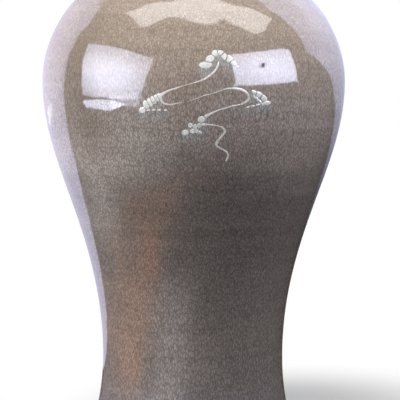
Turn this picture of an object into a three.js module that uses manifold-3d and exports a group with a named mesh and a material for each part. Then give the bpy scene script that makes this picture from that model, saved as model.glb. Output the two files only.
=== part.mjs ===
// A broad-shouldered bottle vase of glazed stoneware, in millimetres with +Z up.
// The origin is the middle of the surface that its foot stands on, and its inlaid front faces -Y.
// Thrown sections stack from the foot to the lip. Each is luted to the next by a ring of slip in a lap joint,
// and a cloud scroll of white slip fills strokes that are carved into the belly.
import * as THREE from "three";
import { mergeVertices } from "three/addons/utils/BufferGeometryUtils.js";
import Module from "manifold-3d";

const wasm = await Module();
wasm.setup();

// Outside of the vase
const FOOT_RADIUS = 64.7;
const FOOT_EDGE = 3; // rounding of the edge that it stands on
const WAIST_RADIUS = 57.3;
const WAIST_HEIGHT = 51;
const WAIST_PULL = 78; // how strongly the wall keeps to the waist before it swells
const BELLY_RADIUS = 95;
const BELLY_HEIGHT = 224;
const BELLY_PULL = 53; // how strongly the wall keeps to the belly below it
const SHOULDER_RISE = 82.5; // from the belly to the top of the shoulder's ellipse
const NECK_RADIUS = 23;
const NECK_HEIGHT = 14; // from the shoulder's seat to the lip's joint
const COLLAR_FLARE = 7; // how far the neck's foot spreads over the shoulder
const LIP_OVERHANG = 8;
const LIP_HEIGHT = 11;
const LIP_EDGE = 2.5; // radius of the rolled rim

// Thickness of the clay
const WALL = 7;
const NECK_WALL = 6;
const FLOOR = 10;
const FLOOR_CORNER = 14; // rounding between the floor and the wall
const FOOT_RING_WIDTH = 13;

// Joints between the sections
const FOOT_RING_HEIGHT = 9;
const WAIST_JOINT_RISE = 69; // above the waist
const SHOULDER_JOINT_RISE = 44; // above the belly
const LAP_HEIGHT = 2;
const SLIP = 0.8; // thickness of the luting slip

// White slip inlay
const INLAY_DEPTH = 1.2;
const FIT_GAP = 0.3; // between an inlay and its carved pocket
const LOBE_SWELL = 0.3; // how far a lobe stands out, as a share of its stroke's width

// Facets
const TURN_SEGMENTS = 40;
const FACET_LENGTH = 15;
const SHORTEST_FACET = 1;
const LEAST_CURVE_STEPS = 4;
const STEPS_PER_LOBE = 4;

const NECK_BORE = NECK_RADIUS - NECK_WALL;
const COLLAR_RADIUS = NECK_RADIUS + COLLAR_FLARE;
const LIP_RADIUS = NECK_RADIUS + LIP_OVERHANG;
const FLOOR_UNDERSIDE = FOOT_RING_HEIGHT + LAP_HEIGHT + SLIP;
const FLOOR_TOP = FLOOR_UNDERSIDE + FLOOR;
const COLLAR_ANGLE = Math.acos(COLLAR_RADIUS / BELLY_RADIUS); // on the shoulder's ellipse
const NECK_SEAT = BELLY_HEIGHT + SHOULDER_RISE * Math.sin(COLLAR_ANGLE);
const LIP_JOINT = NECK_SEAT + NECK_HEIGHT;
const LIP_TOP = LIP_JOINT + LIP_HEIGHT;

const glazedStoneware = new THREE.MeshStandardMaterial({ color: 0x857a6b, roughness: 0.22, metalness: 0 });
const bareStoneware = new THREE.MeshStandardMaterial({ color: 0x9a7558, roughness: 0.85, metalness: 0 });
const lutingSlip = new THREE.MeshStandardMaterial({ color: 0x7a6f61, roughness: 0.4, metalness: 0 });
const whiteSlip = new THREE.MeshStandardMaterial({ color: 0xd6d0c2, roughness: 0.25, metalness: 0 });

// The carved strokes of the cloud scroll, seen from the front. A route gives points across the vase and above the
// belly. width is half the stroke's width where it is widest, swell says how far along that is, and lobes counts
// the scallops along its edges.
const CLOUD_STROKES = [
  { name: "crest_inlay", width: 2.0, swell: 0.3, lobes: 4,
    route: [[3, 7.7], [7, 10.2], [12, 14.2], [17, 14.2], [21, 10.7], [25.5, 7.2]] },
  { name: "crest_tail_inlay", width: 0.75, swell: 0.4, lobes: 1,
    route: [[14, 7.7], [12.5, 4.7], [9, 1.7], [4, -0.3], [-4, -2.3], [-11, -4.8], [-15, -6.3]] },
  { name: "left_head_inlay", width: 1.9, swell: 0.7, lobes: 4,
    route: [[-16.5, -8.3], [-20, -9.8], [-24, -12.3], [-27, -15.3], [-29.5, -18.8]] },
  { name: "left_ripple_inlay", width: 0.6, swell: 0.4, lobes: 1,
    route: [[-24, -17.8], [-20, -16.8], [-14.5, -16.8]] },
  { name: "left_curl_inlay", width: 0.75, swell: 0.4, lobes: 1,
    route: [[-18, -11.6], [-15.5, -13.1], [-12.5, -13.7], [-8, -13.1]] },
  { name: "middle_wisp_inlay", width: 0.5, swell: 0.6, lobes: 1,
    route: [[-6, -12.6], [4, -9.8], [13, -6.8], [20, -5]] },
  { name: "right_hook_inlay", width: 1.0, swell: 0.5, lobes: 1,
    route: [[22, -4.6], [27, -5.1], [30, -7.6], [30.5, -10.1], [28.5, -12.3], [24.5, -13.8]] },
  { name: "right_head_inlay", width: 1.6, swell: 0.6, lobes: 3,
    route: [[32.5, -6.1], [36.5, -7.6], [40.5, -9.8], [42.5, -13.8]] },
  { name: "right_inner_inlay", width: 0.9, swell: 0.5, lobes: 2,
    route: [[33.5, -9.8], [36.2, -11.3], [38.5, -14.6]] },
  { name: "right_ripple_inlay", width: 0.6, swell: 0.5, lobes: 1,
    route: [[27.5, -15.6], [32, -14.6], [36, -14.2]] },
  { name: "right_tail_inlay", width: 0.75, swell: 0.5, lobes: 1,
    route: [[22.5, -14.3], [17, -15.6], [12, -17.6], [8.5, -19.3]] },
  { name: "lower_bud_inlay", width: 1.8, swell: 0.5, lobes: 1,
    route: [[7, -20.3], [5, -21.4], [2.5, -22.8]] },
  { name: "lower_head_inlay", width: 1.7, swell: 0.6, lobes: 3,
    route: [[7, -24.8], [2.5, -26], [-2, -27.5], [-6.5, -30.3]] },
  { name: "trailing_tail_inlay", width: 0.7, swell: 0.4, lobes: 1,
    route: [[9, -25.1], [14, -25.6], [17.7, -27.4], [17.5, -30.3], [14.5, -33.3], [13, -36.1], [16, -38.3],
      [19, -40.4], [19.6, -42.8], [18, -45.3]] },
];

function point(radius, height) {
  return new THREE.Vector2(radius, height);
}

function bend(from, towards, to) {
  return new THREE.QuadraticBezierCurve(from, towards, to);
}

// Points along curves that follow each other, with none doubled where two meet.
function trace(curves) {
  const line = [];
  for (const curve of curves) {
    const needed = Math.ceil(curve.getLength() / FACET_LENGTH);
    const steps = curve.isLineCurve ? 1 : Math.max(LEAST_CURVE_STEPS, needed);
    const found = curve.getSpacedPoints(steps);
    line.push(...(line.length ? found.slice(1) : found));
  }
  return line;
}

// The radius where a line that only rises is at this height.
function radiusAt(line, height) {
  const above = Math.max(1, line.findIndex((place) => place.y >= height));
  const low = line[above - 1];
  const high = line[above];
  return THREE.MathUtils.mapLinear(height, low.y, high.y, low.x, high.x);
}

// The part of a line between two heights, with points set exactly at both.
function stretch(line, low, high) {
  const first = point(radiusAt(line, low), low);
  const last = point(radiusAt(line, high), high);
  const clear = (place) =>
    place.distanceTo(first) > SHORTEST_FACET && place.distanceTo(last) > SHORTEST_FACET;
  const between = line.filter((place) => place.y > low && place.y < high && clear(place));
  return [first, ...between, last];
}

// The outside, from the standing edge to the top of the lip.
function outsideLine() {
  const standing = point(FOOT_RADIUS - FOOT_EDGE, 0);
  const foot = point(FOOT_RADIUS, FOOT_EDGE);
  const waist = point(WAIST_RADIUS, WAIST_HEIGHT);
  const belly = point(BELLY_RADIUS, BELLY_HEIGHT);
  const collar = point(COLLAR_RADIUS, NECK_SEAT);
  const slope = (SHOULDER_RISE * Math.cos(COLLAR_ANGLE)) / (BELLY_RADIUS * Math.sin(COLLAR_ANGLE));
  const neckTurn = point(NECK_RADIUS, NECK_SEAT + COLLAR_FLARE * slope);
  const neckFoot = point(NECK_RADIUS, neckTurn.y + COLLAR_FLARE * Math.hypot(1, slope));
  const neckTop = point(NECK_RADIUS, LIP_JOINT);
  const rim = point(LIP_RADIUS - LIP_EDGE, LIP_TOP - LIP_EDGE);
  const lipUnderside = point(rim.x, rim.y - LIP_EDGE);
  return trace([
    bend(standing, point(FOOT_RADIUS, 0), foot),
    bend(foot, point(WAIST_RADIUS, (foot.y + waist.y) / 2), waist),
    new THREE.CubicBezierCurve(
      waist,
      point(WAIST_RADIUS, WAIST_HEIGHT + WAIST_PULL),
      point(BELLY_RADIUS, BELLY_HEIGHT - BELLY_PULL),
      belly,
    ),
    new THREE.EllipseCurve(0, BELLY_HEIGHT, BELLY_RADIUS, SHOULDER_RISE, 0, COLLAR_ANGLE),
    bend(collar, neckTurn, neckFoot),
    new THREE.LineCurve(neckFoot, neckTop),
    bend(neckTop, point(NECK_RADIUS, lipUnderside.y), lipUnderside),
    new THREE.EllipseCurve(rim.x, rim.y, LIP_EDGE, LIP_EDGE, -Math.PI / 2, Math.PI / 2),
  ]);
}

// The hollow, from the floor up through the bore of the neck to the top of the lip.
function cavityLine(outside) {
  const cornerTop = FLOOR_TOP + FLOOR_CORNER;
  const wall = stretch(outside, cornerTop, BELLY_HEIGHT).map((place) => point(place.x - WALL, place.y));
  const corner = bend(point(wall[0].x - FLOOR_CORNER, FLOOR_TOP), point(wall[0].x, FLOOR_TOP), wall[0]);
  const domeRadius = BELLY_RADIUS - WALL;
  const domeRise = SHOULDER_RISE - WALL;
  const boreAngle = Math.acos(NECK_BORE / domeRadius);
  const boreFoot = point(NECK_BORE, BELLY_HEIGHT + domeRise * Math.sin(boreAngle));
  const throat = point(NECK_BORE, LIP_JOINT);
  const above = trace([
    new THREE.EllipseCurve(0, BELLY_HEIGHT, domeRadius, domeRise, 0, boreAngle),
    new THREE.LineCurve(boreFoot, throat),
    bend(throat, point(NECK_BORE, LIP_TOP), point(LIP_RADIUS - LIP_EDGE, LIP_TOP)),
  ]);
  return [...trace([corner]), ...wall.slice(1), ...above.slice(1)];
}

// A lap joint at one height. The lower section keeps an upstand inside the lap's radius, the upper one is rebated
// to fit over it, and the slip lies between them.
function lapJoint(outside, inside, height) {
  const top = height + LAP_HEIGHT + SLIP;
  const innermost = Math.max(radiusAt(inside, height), radiusAt(inside, top));
  const outermost = Math.min(radiusAt(outside, height), radiusAt(outside, top));
  return { outside, inside, height, lap: (innermost + outermost - SLIP) / 2 };
}

// The upstand on a lower section, from the lap towards the bore.
function upstand({ lap, height }) {
  return [point(lap, height), point(lap, height + LAP_HEIGHT)];
}

// The rebate under an upper section, from the bore towards the outside.
function rebate({ lap, height }) {
  return upstand({ lap: lap + SLIP, height: height + SLIP }).reverse();
}

// A thrown section between the joint that it stands on and the one that it carries.
function sectionProfile(lower, upper) {
  const outer = stretch(lower.outside, lower.height + SLIP, upper.height);
  const inner = stretch(lower.inside, lower.height + LAP_HEIGHT + SLIP, upper.height + LAP_HEIGHT);
  return [...outer, ...upstand(upper), ...inner.reverse(), ...rebate(lower)];
}

function slipProfile(joint) {
  const outer = stretch(joint.outside, joint.height, joint.height + SLIP);
  const inner = stretch(joint.inside, joint.height + LAP_HEIGHT, joint.height + LAP_HEIGHT + SLIP);
  return [...outer, ...rebate(joint).reverse(), ...inner.reverse(), ...upstand(joint).reverse()];
}

// A solid of revolution about +Z. A ring's profile closes on itself, and any other starts and ends on the axis.
function turned(profile) {
  const onAxis = profile[0].x === 0;
  const closed = onAxis ? profile : [...profile, profile[0]];
  return new THREE.LatheGeometry(closed, TURN_SEGMENTS).rotateX(Math.PI / 2);
}

function toManifold(geometry) {
  const bare = geometry.clone();
  bare.deleteAttribute("normal");
  bare.deleteAttribute("uv");
  const merged = mergeVertices(bare);
  const vertProperties = new Float32Array(merged.attributes.position.array);
  const triVerts = new Uint32Array(merged.index.array);
  return new wasm.Manifold(new wasm.Mesh({ numProp: 3, vertProperties, triVerts }));
}

function toGeometry(manifold) {
  const mesh = manifold.getMesh();
  const geometry = new THREE.BufferGeometry();
  geometry.setAttribute("position", new THREE.BufferAttribute(mesh.vertProperties, 3));
  geometry.setIndex(new THREE.BufferAttribute(mesh.triVerts, 1));
  geometry.computeVertexNormals();
  return geometry;
}

// Half the width of a stroke at a share of its length: pointed at both ends and scalloped by its lobes.
function halfWidth({ width, swell, lobes }, share) {
  const skewed = share ** (Math.log(0.5) / Math.log(swell));
  const scallop = 1 + LOBE_SWELL * (Math.abs(Math.sin(lobes * Math.PI * share)) - 1);
  return width * Math.sqrt(Math.sin(Math.PI * skewed)) * scallop;
}

// The outline of a stroke as seen from the front, widened all round by grow.
function strokeOutline(stroke, grow) {
  const path = new THREE.SplineCurve(stroke.route.map(([across, rise]) => point(across, BELLY_HEIGHT + rise)));
  const steps = STEPS_PER_LOBE * Math.max(stroke.lobes, stroke.route.length - 1);
  const left = [];
  const right = [];
  for (let step = 1; step < steps; step += 1) {
    const along = path.getTangentAt(step / steps);
    const reach = halfWidth(stroke, step / steps) + grow;
    const side = point(-along.y, along.x).multiplyScalar(reach);
    const middle = path.getPointAt(step / steps);
    left.unshift(middle.clone().add(side));
    right.push(middle.clone().sub(side));
  }
  const start = path.getPointAt(0).addScaledVector(path.getTangentAt(0), -grow);
  const end = path.getPointAt(1).addScaledVector(path.getTangentAt(1), grow);
  return new THREE.Shape([start, ...right, end, ...left]);
}

// An outline pushed forwards from the vase's axis to just outside its belly.
function prism(outline) {
  const depth = BELLY_RADIUS + INLAY_DEPTH;
  return toManifold(new THREE.ExtrudeGeometry(outline, { depth, bevelEnabled: false }).rotateX(Math.PI / 2));
}

// The outer skin of the belly wall, as thick as an inlay is deep.
function inlaySkin(outer) {
  const back = outer.map((place) => point(place.x - INLAY_DEPTH, place.y));
  return toManifold(turned([...outer, ...back.reverse()]));
}

// Everything behind the floors of the carved pockets.
function pocketCore(outer) {
  const floors = outer.map((place) => point(place.x - INLAY_DEPTH - FIT_GAP, place.y));
  return toManifold(turned([point(0, floors[0].y), ...floors, point(0, floors.at(-1).y)]));
}

function mesh(name, geometry, material) {
  const made = new THREE.Mesh(geometry, material);
  made.name = name;
  return made;
}

function footRing(outside, footBore, joint) {
  const outer = stretch(outside, 0, joint.height);
  const inner = stretch(footBore, 0, joint.height + LAP_HEIGHT);
  return turned([...outer, ...upstand(joint), ...inner.reverse()]);
}

function lowerBody(outside, cavity, foot, waist) {
  const outer = stretch(outside, foot.height + SLIP, waist.height);
  const inner = stretch(cavity, FLOOR_TOP, waist.height + LAP_HEIGHT);
  const under = [point(0, FLOOR_UNDERSIDE), ...rebate(foot)];
  return turned([...under, ...outer, ...upstand(waist), ...inner.reverse(), point(0, FLOOR_TOP)]);
}

function bellyWall(lower, upper, outer) {
  const core = pocketCore(outer);
  const wall = toManifold(turned(sectionProfile(lower, upper)));
  const carved = CLOUD_STROKES.reduce(
    (left, stroke) => left.subtract(prism(strokeOutline(stroke, FIT_GAP)).subtract(core)),
    wall,
  );
  return toGeometry(carved);
}

function mouthLip(outside, cavity, joint) {
  const outer = stretch(outside, joint.height + SLIP, LIP_TOP);
  const inner = stretch(cavity, joint.height + LAP_HEIGHT + SLIP, LIP_TOP).slice(0, -1);
  return turned([...outer, ...inner.reverse(), ...rebate(joint)]);
}

function buildVase() {
  const outside = outsideLine();
  const cavity = cavityLine(outside);
  const footBoreRadius = FOOT_RADIUS - FOOT_RING_WIDTH;
  const footBore = [point(footBoreRadius, 0), point(footBoreRadius, FLOOR_UNDERSIDE)];
  const foot = lapJoint(outside, footBore, FOOT_RING_HEIGHT);
  const waist = lapJoint(outside, cavity, WAIST_HEIGHT + WAIST_JOINT_RISE);
  const shoulder = lapJoint(outside, cavity, BELLY_HEIGHT + SHOULDER_JOINT_RISE);
  const neck = lapJoint(outside, cavity, NECK_SEAT);
  const lip = lapJoint(outside, cavity, LIP_JOINT);
  const bellyOuter = stretch(outside, waist.height + SLIP, shoulder.height);

  const sections = new THREE.Group();
  sections.add(
    mesh("foot_ring", footRing(outside, footBore, foot), bareStoneware),
    mesh("lower_body", lowerBody(outside, cavity, foot, waist), glazedStoneware),
    mesh("belly_wall", bellyWall(waist, shoulder, bellyOuter), glazedStoneware),
    mesh("shoulder_cap", turned(sectionProfile(shoulder, neck)), glazedStoneware),
    mesh("neck_collar", turned(sectionProfile(neck, lip)), glazedStoneware),
    mesh("mouth_lip", mouthLip(outside, cavity, lip), glazedStoneware),
  );

  const seams = new THREE.Group();
  for (const [name, joint] of Object.entries({ foot, waist, shoulder, neck, lip })) {
    seams.add(mesh(`${name}_slip`, turned(slipProfile(joint)), lutingSlip));
  }

  const inlay = new THREE.Group();
  const skin = inlaySkin(bellyOuter);
  for (const stroke of CLOUD_STROKES) {
    const filled = prism(strokeOutline(stroke, 0)).intersect(skin);
    inlay.add(mesh(stroke.name, toGeometry(filled), whiteSlip));
  }

  return new THREE.Group().add(sections, seams, inlay);
}

export default buildVase();
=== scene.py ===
"""A thrown stoneware vase with a crackled glaze and an inlaid white cloud scroll, dressed over its solids."""

import logging
import math
from abc import ABC, abstractmethod
from collections.abc import Callable, Sequence
from dataclasses import dataclass
from enum import Enum
from functools import partial

import bmesh
import bpy
import numpy as np
from bpy.types import AreaLight, Material, Node, NodeSocket, NodeTree, Object
from mathutils import Euler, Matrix, Quaternion, Vector, noise


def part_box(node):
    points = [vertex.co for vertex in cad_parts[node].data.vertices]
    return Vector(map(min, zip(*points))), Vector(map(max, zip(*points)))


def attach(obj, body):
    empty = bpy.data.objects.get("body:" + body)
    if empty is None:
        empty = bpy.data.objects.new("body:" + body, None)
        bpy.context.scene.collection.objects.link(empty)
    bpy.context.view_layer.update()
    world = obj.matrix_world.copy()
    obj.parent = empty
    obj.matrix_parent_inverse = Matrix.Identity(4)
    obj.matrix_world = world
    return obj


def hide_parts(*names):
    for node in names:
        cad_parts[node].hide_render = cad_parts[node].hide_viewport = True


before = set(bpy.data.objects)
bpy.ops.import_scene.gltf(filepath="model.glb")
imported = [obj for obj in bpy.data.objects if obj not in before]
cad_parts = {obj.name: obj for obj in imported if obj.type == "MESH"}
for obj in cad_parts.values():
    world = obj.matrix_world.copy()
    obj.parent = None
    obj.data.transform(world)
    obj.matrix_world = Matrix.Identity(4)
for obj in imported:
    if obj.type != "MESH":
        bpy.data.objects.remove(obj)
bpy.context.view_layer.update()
BODY = "root"
MM = 0.001  # every size below is in millimetres, and Blender's unit is the metre
LOG = logging.getLogger("vase")

# The sockets of a colour mix, which share their names with those of its other kinds
MIX_A, MIX_B, MIX_RESULT = 6, 7, 2

CURVE_STEPS = 160  # points on a Bezier curve
ARC_STEPS = 240  # and on an arc
ROUTE_STEPS = 24  # and between two points of a stroke's route
WELD = 1e-7  # points of a mesh that are closer than this, in metres, become one
TURNED_CREASE = 38  # degrees above which an edge of a turned piece is sharp
SLIP_CREASE = 50  # and of an inlaid one
PANEL_POWER = 4  # watts for each square metre of a panel and unit of its radiance
WHITE = "#ffffff"

Pair = tuple[float, float]
Place = tuple[float, float, float]
Inputs = dict[str | int, object]
AddNode = Callable[..., Node]
Coat = tuple[NodeSocket, str]  # a mask, and the colour that shows where it is 1


class Slot(Enum):
    """The record's material slots."""

    GLAZE = "glazed_stoneware"
    BARE = "bare_stoneware"
    SEAM = "luting_slip"
    INLAY = "white_slip"


class Paint(Enum):
    """Values painted on a mesh's points, which the finishes read by these names."""

    FLUSH = "iron_flush"
    # painted light and a painted reflection on the front, and a paler streak at the back
    LIT_AND_PALE = "pale_streak"
    # painted shade
    PAINTED_SHADE = "deep_tone"
    HALO = "slip_halo"
    SPECK = "iron_speck"
    # dark seams between lobes and thin slip, with painted shade on the crest
    SEAM = "lobe_seam"


def linear_colour(code: str) -> tuple[float, float, float, float]:
    """Turns an sRGB hex colour into the linear one that the shaders take.

    Args:
        code: the colour, written as #rrggbb.

    Returns:
        Red, green, blue and an alpha of 1.
    """
    shares = [int(code[start : start + 2], 16) / 255 for start in (1, 3, 5)]
    red, green, blue = ((s / 12.92) if s <= 0.04045 else ((s + 0.055) / 1.055) ** 2.4 for s in shares)
    return red, green, blue, 1.0


def fill_inputs(tree: NodeTree, node: Node, inputs: Inputs) -> None:
    """Gives a node's inputs their values, or links them.

    Args:
        tree: the node's tree.
        node: the node.
        inputs: for each input, by name or number, a plain value or the output socket to link.
    """
    for key, value in inputs.items():
        if isinstance(value, NodeSocket):
            tree.links.new(value, node.inputs[key])
        else:
            node.inputs[key].default_value = value


def add_node(tree: NodeTree, kind: str, inputs: Inputs | None = None, **settings: object) -> Node:
    """Adds one node with its settings, and fills or links its inputs.

    Args:
        tree: the node tree that it goes into.
        kind: the node's type without its ShaderNode prefix.
        inputs: what its inputs hold.
        settings: its own properties, such as operation.

    Returns:
        The new node.
    """
    node = tree.nodes.new("ShaderNode" + kind)
    for name, value in settings.items():
        setattr(node, name, value)
    fill_inputs(tree, node, inputs or {})
    return node


def per_metre(size: float) -> float:
    """The scale of a texture whose cells or waves have this size in millimetres."""
    return 1 / (size * MM)


def box_mm(node: str) -> tuple[Vector, Vector]:
    """A CAD node's lowest and highest corners, in millimetres."""
    low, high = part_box(node)
    return low / MM, high / MM


def bezier(*controls: Pair) -> np.ndarray:
    """Points along a Bezier curve of any degree.

    Args:
        controls: its control points, as radius and height.

    Returns:
        One row for each point.
    """
    share = np.linspace(0, 1, CURVE_STEPS)[:, None]
    line = [np.array(control, float) + 0 * share for control in controls]
    while len(line) > 1:
        line = [low * (1 - share) + high * share for low, high in zip(line, line[1:])]
    return line[0]


def arc(centre: Pair, axes: Pair, start: float, end: float) -> np.ndarray:
    """Points along part of an ellipse.

    Args:
        centre: its centre, as radius and height.
        axes: its two half axes.
        start: the first angle, in radians.
        end: the last angle.

    Returns:
        One row for each point.
    """
    angle = np.linspace(start, end, ARC_STEPS)
    return np.array(centre) + np.column_stack((np.cos(angle), np.sin(angle))) * axes


def joined(*lines: np.ndarray) -> np.ndarray:
    """One line from several, each of which begins where the one before it ends."""
    return np.vstack((lines[0], *(line[1:] for line in lines[1:])))


def spaced(line: np.ndarray, step: float) -> np.ndarray:
    """The same line with its points at even distances.

    Args:
        line: the line, one row for each point.
        step: about how far apart its points are to be.

    Returns:
        One row for each new point.
    """
    run = np.concatenate(([0], np.cumsum(np.hypot(*np.diff(line[:, :2], axis=0).T))))
    even = np.linspace(0, run[-1], max(2, math.ceil(run[-1] / step) + 1))
    return np.column_stack([np.interp(even, run, column) for column in line.T])


def radius_at(line: np.ndarray, height: float) -> float:
    """The radius of a rising line at this height."""
    return float(np.interp(height, line[:, 1], line[:, 0]))


def stretch(line: np.ndarray, low: float, high: float, step: float) -> np.ndarray:
    """The part of a rising line between two heights, at even steps.

    Args:
        line: the line, as radii and heights.
        low: the lower height.
        high: the upper height.
        step: the distance between its points.

    Returns:
        One row for each point, from low to high.
    """
    between = line[(line[:, 1] > low) & (line[:, 1] < high)]
    start, end = ([[radius_at(line, height), height]] for height in (low, high))
    return spaced(np.vstack((start, between, end)), step)


def smooth(low: float, high: float, value: np.ndarray) -> np.ndarray:
    """An eased ramp from 0 at low to 1 at high."""
    share = np.clip((value - low) / (high - low), 0, 1)
    return share * share * (3 - 2 * share)


def grid_quads(rows: int, columns: int) -> np.ndarray:
    """The numbers of the four corners of each cell of a grid of points."""
    number = np.arange(rows * columns).reshape(rows, columns)
    return np.stack((number[:-1, :-1], number[:-1, 1:], number[1:, 1:], number[1:, :-1]), axis=-1)


@dataclass(frozen=True)
class Waves:
    """Even noise over the vase, by its strength and the size of its waves round the vase and up it."""

    strength: float
    around: float
    up: float
    seed: float  # moves the noise, so that two uses differ

    def at(self, place: np.ndarray) -> np.ndarray:
        """Its values at points in millimetres, from about -strength to strength."""
        scaled = place / (self.around, self.around, self.up) + self.seed
        return self.strength * np.array([noise.noise(row) for row in scaled.tolist()])


@dataclass
class VaseForm:
    """The turned outline that all the sections share, and the marks that the thrower's hands left in it."""

    foot_edge: float = 3
    waist_radius: float = 57.3
    waist_height: float = 51
    waist_pull: float = 78
    belly_height: float = 224
    belly_pull: float = 53
    shoulder_rise: float = 82.5
    neck_radius: float = 23
    collar_flare: float = 7
    lip_edge: float = 2.5
    wall: float = 7
    neck_wall: float = 6
    floor: float = 10
    floor_corner: float = 14
    slip: float = 0.8
    sway: Waves = Waves(0.16, 55, 45, 11.3)  # how far the wall strays from a true turned form
    dimples: Waves = Waves(0.04, 5.5, 4.5, 7.9)  # the uneven skin that makes reflections ragged
    rings: Waves = Waves(0.01, 70, 2.6, 3.7)  # the throwing rings
    dents: Waves = Waves(0.6, 15, 12, 15.8)  # what collaring in left on the shoulder
    dents_from: float = 246  # heights between which they begin
    dents_by: float = 268

    def __post_init__(self) -> None:
        """Takes from the CAD model what its nodes measure, and draws both lines."""
        self.foot_radius = box_mm("foot_ring")[1].x
        self.belly_radius = box_mm("belly_wall")[1].x
        self.lip_radius = box_mm("mouth_lip")[1].x
        self.lip_top = box_mm("mouth_lip")[1].z
        joints = ("foot", "waist", "shoulder", "neck", "lip")
        self.joints = {name: box_mm(name + "_slip")[0].z for name in joints}
        seam_low, seam_high = box_mm("foot_slip")
        self.lap = seam_high.z - seam_low.z - self.slip
        self.floor_underside = self.joints["foot"] + self.lap + self.slip
        self.outside = self._outside_line()
        self.cavity = self._cavity_line()

    def _outside_line(self) -> np.ndarray:
        """The outside, from the standing edge to the top of the lip.

        Returns:
            One row for each point, as radius and height.
        """
        foot = (self.foot_radius, self.foot_edge)
        waist = (self.waist_radius, self.waist_height)
        waist_turn = (self.waist_radius, self.waist_height + self.waist_pull)
        belly = (self.belly_radius, self.belly_height)
        belly_turn = (self.belly_radius, self.belly_height - self.belly_pull)
        collar = (self.neck_radius + self.collar_flare, self.joints["neck"])
        collar_angle = math.acos(collar[0] / self.belly_radius)
        slope = self.shoulder_rise / self.belly_radius / math.tan(collar_angle)
        neck_turn = (self.neck_radius, collar[1] + self.collar_flare * slope)
        neck_foot = (self.neck_radius, neck_turn[1] + self.collar_flare * math.hypot(1, slope))
        neck_top = (self.neck_radius, self.joints["lip"])
        rim = (self.lip_radius - self.lip_edge, self.lip_top - self.lip_edge)
        underside = (rim[0], rim[1] - self.lip_edge)
        return joined(
            bezier((self.foot_radius - self.foot_edge, 0), (self.foot_radius, 0), foot),
            bezier(foot, (self.waist_radius, (foot[1] + waist[1]) / 2), waist),
            bezier(waist, waist_turn, belly_turn, belly),
            arc((0, self.belly_height), (self.belly_radius, self.shoulder_rise), 0, collar_angle),
            bezier(collar, neck_turn, neck_foot),
            bezier(neck_foot, neck_top),
            bezier(neck_top, (self.neck_radius, underside[1]), underside),
            arc(rim, (self.lip_edge, self.lip_edge), -math.pi / 2, math.pi / 2),
        )

    def _cavity_line(self) -> np.ndarray:
        """The hollow, from the floor up through the bore of the neck to the top of the lip.

        Returns:
            One row for each point, as radius and height.
        """
        floor_top = self.floor_underside + self.floor
        corner_top = floor_top + self.floor_corner
        wall = stretch(self.outside, corner_top, self.belly_height, step=1) - (self.wall, 0)
        bore = self.neck_radius - self.neck_wall
        dome = (self.belly_radius - self.wall, self.shoulder_rise - self.wall)
        bore_angle = math.acos(bore / dome[0])
        bore_foot = (bore, self.belly_height + dome[1] * math.sin(bore_angle))
        throat = (bore, self.joints["lip"])
        return joined(
            bezier((wall[0, 0] - self.floor_corner, floor_top), (wall[0, 0], floor_top), tuple(wall[0])),
            wall,
            arc((0, self.belly_height), dome, 0, bore_angle),
            bezier(bore_foot, throat),
            bezier(throat, (bore, self.lip_top), (self.lip_radius - self.lip_edge, self.lip_top)),
        )

    def lap_radius(self, joint: str, inside: np.ndarray) -> float:
        """The radius of the upstand in a lap joint.

        Args:
            joint: the joint's name.
            inside: the line that bounds the wall inside.

        Returns:
            The upstand's radius, which leaves as much clay on either side of the slip.
        """
        heights = (self.joints[joint], self.joints[joint] + self.lap + self.slip)
        innermost = max(radius_at(inside, height) for height in heights)
        outermost = min(radius_at(self.outside, height) for height in heights)
        return (innermost + outermost - self.slip) / 2

    def hand_marks(self, place: np.ndarray) -> np.ndarray:
        """How far the thrown wall stands out from the true form at points on its outside, in millimetres."""
        dents = self.dents.at(place) * smooth(self.dents_from, self.dents_by, place[:, 2])
        return self.sway.at(place) + self.dimples.at(place) + self.rings.at(place) + dents


def finish_mesh(piece: Object, node: str, material: Material) -> None:
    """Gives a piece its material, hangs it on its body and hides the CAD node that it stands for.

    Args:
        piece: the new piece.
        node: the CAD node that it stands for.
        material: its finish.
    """
    piece.data.materials.append(material)
    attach(piece, BODY)
    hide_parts(node)
    LOG.info("%s stands for %s, with %d faces", piece.name, node, len(piece.data.polygons))


def make_piece(name: str, points: np.ndarray, faces: Sequence[Sequence[int]], crease: float) -> Object:
    """Makes a closed, smooth-shaded piece with sharp edges where its faces turn strongly.

    Args:
        name: the piece's name.
        points: its points in millimetres.
        faces: the numbers of each face's points.
        crease: the angle, in degrees, above which an edge is sharp.

    Returns:
        The new object, in the scene.
    """
    mesh = bpy.data.meshes.new(name)
    mesh.from_pydata((points * MM).tolist(), [], faces)
    shape = bmesh.new()
    shape.from_mesh(mesh)
    bmesh.ops.remove_doubles(shape, verts=shape.verts, dist=WELD)
    bmesh.ops.recalc_face_normals(shape, faces=shape.faces)
    shape.to_mesh(mesh)
    shape.free()
    mesh.polygons.foreach_set("use_smooth", [True] * len(mesh.polygons))
    mesh.set_sharp_from_angle(angle=math.radians(crease))
    piece = bpy.data.objects.new(name, mesh)
    bpy.context.scene.collection.objects.link(piece)
    return piece


def points_of(piece: Object) -> np.ndarray:
    """Reads where a piece's points are.

    Args:
        piece: the piece.

    Returns:
        The places in millimetres, one row each.
    """
    flat = np.zeros(len(piece.data.vertices) * 3)
    piece.data.vertices.foreach_get("co", flat)
    return flat.reshape(-1, 3) / MM


def paint(piece: Object, layer: Paint, values: np.ndarray) -> None:
    """Paints one value on each of a piece's points."""
    piece.data.attributes.new(layer.value, "FLOAT", "POINT").data.foreach_set("value", values)


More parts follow.
